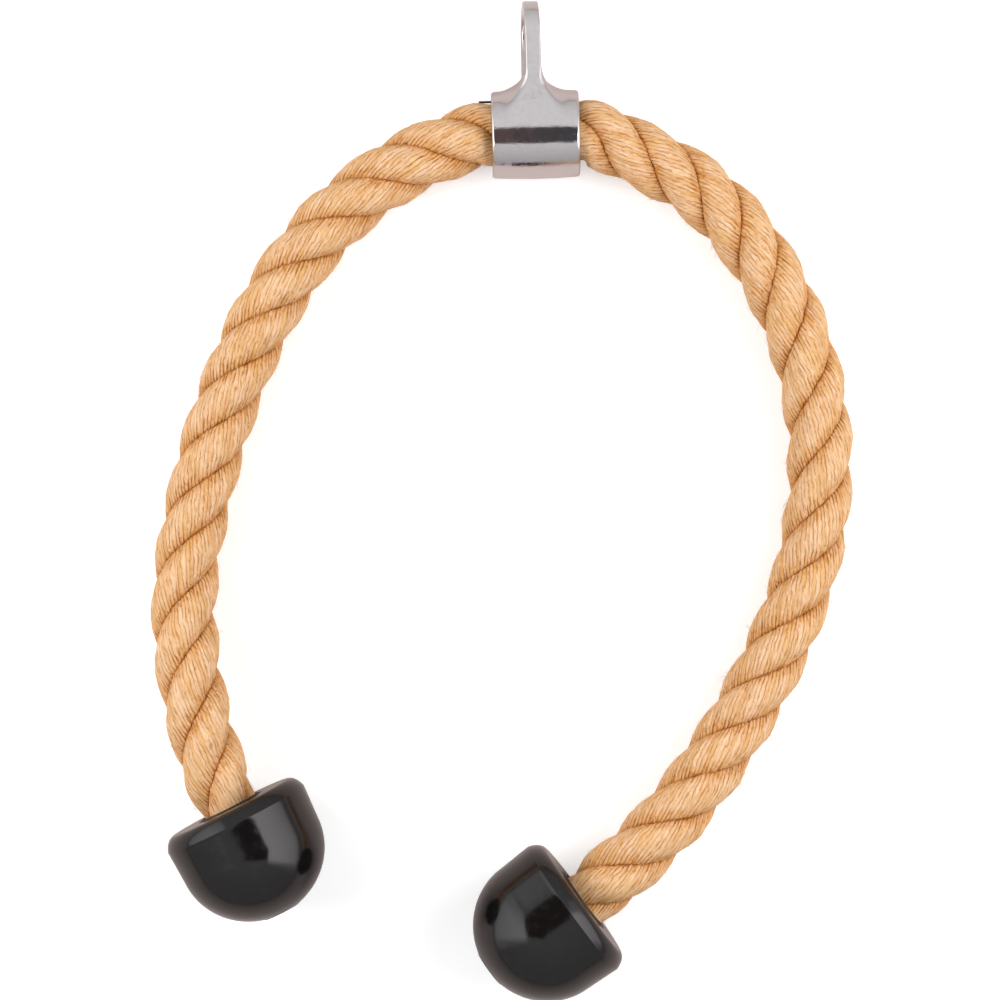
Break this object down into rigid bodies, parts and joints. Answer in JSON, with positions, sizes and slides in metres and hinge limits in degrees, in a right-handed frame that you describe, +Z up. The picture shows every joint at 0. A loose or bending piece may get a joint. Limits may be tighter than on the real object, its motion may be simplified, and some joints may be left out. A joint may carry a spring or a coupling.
{
  "type": "triceps rope attachment",
  "caption": "Thick laid rope bent through a chromed eye sleeve, with a domed black cap on each free end.",
  "frame": {"origin": "on the surface it lies on, under the middle of the box round the casting and the caps", "axes": "+Y towards the eye, +Z up off the surface, +X to the right as seen from above"},
  "size_m": [0.3427, 0.4855, 0.0728],
  "materials": {
    "chrome": "polished chrome plate on a casting",
    "rope": "laid natural fibre, golden tan",
    "black_plastic": "glossy black moulding",
    "black_tape": "matt black tape",
    "zinc_steel": "zinc-plated steel",
    "grey_plastic": "plain moulding, out of sight"
  },
  "bodies": {
    "connector": {"eye_sleeve": "chrome", "sleeve_tape": "black_tape", "grub_screw": "zinc_steel", "rope_bight": "rope", "left_mouth_rope": "rope", "right_mouth_rope": "rope"},
    "left_upper_arm": {"left_upper_rope": "rope", "left_mid_rope": "rope"},
    "left_lower_arm": {"left_lower_rope": "rope", "left_rope_tail": "rope", "left_cap": "black_plastic", "left_plug": "black_plastic", "left_cap_tape": "black_tape", "left_wedge": "grey_plastic", "left_washer": "zinc_steel", "left_cap_screw": "zinc_steel"},
    "right_upper_arm": {"right_upper_rope": "rope", "right_mid_rope": "rope"},
    "right_lower_arm": {"right_lower_rope": "rope", "right_rope_tail": "rope", "right_cap": "black_plastic", "right_plug": "black_plastic", "right_cap_tape": "black_tape", "right_wedge": "grey_plastic", "right_washer": "zinc_steel", "right_cap_screw": "zinc_steel"}
  },
  "joints": [
    {"name": "left_arm_swing", "type": "hinge", "parent": "connector", "child": "left_upper_arm", "pos_m": [-0.00407, 0.15341, 0.01814], "axis": [0, 0, -1], "range_deg": [-3, 50], "deforming": ["left_mouth_rope"]},
    {"name": "left_arm_bend", "type": "hinge", "parent": "left_upper_arm", "child": "left_lower_arm", "pos_m": [-0.09579, -0.00719, 0.01899], "axis": [0, 0, -1], "range_deg": [-4, 50], "deforming": ["left_mid_rope"]},
    {"name": "right_arm_swing", "type": "hinge", "parent": "connector", "child": "right_upper_arm", "pos_m": [0.14608, 0.14543, 0.01794], "axis": [0, 0, 1], "range_deg": [-3, 50], "deforming": ["right_mouth_rope"]},
    {"name": "right_arm_bend", "type": "hinge", "parent": "right_upper_arm", "child": "right_lower_arm", "pos_m": [0.18954, -0.05683, 0.01751], "axis": [0, 0, 1], "range_deg": [-4, 50], "deforming": ["right_mid_rope"]}
  ]
}
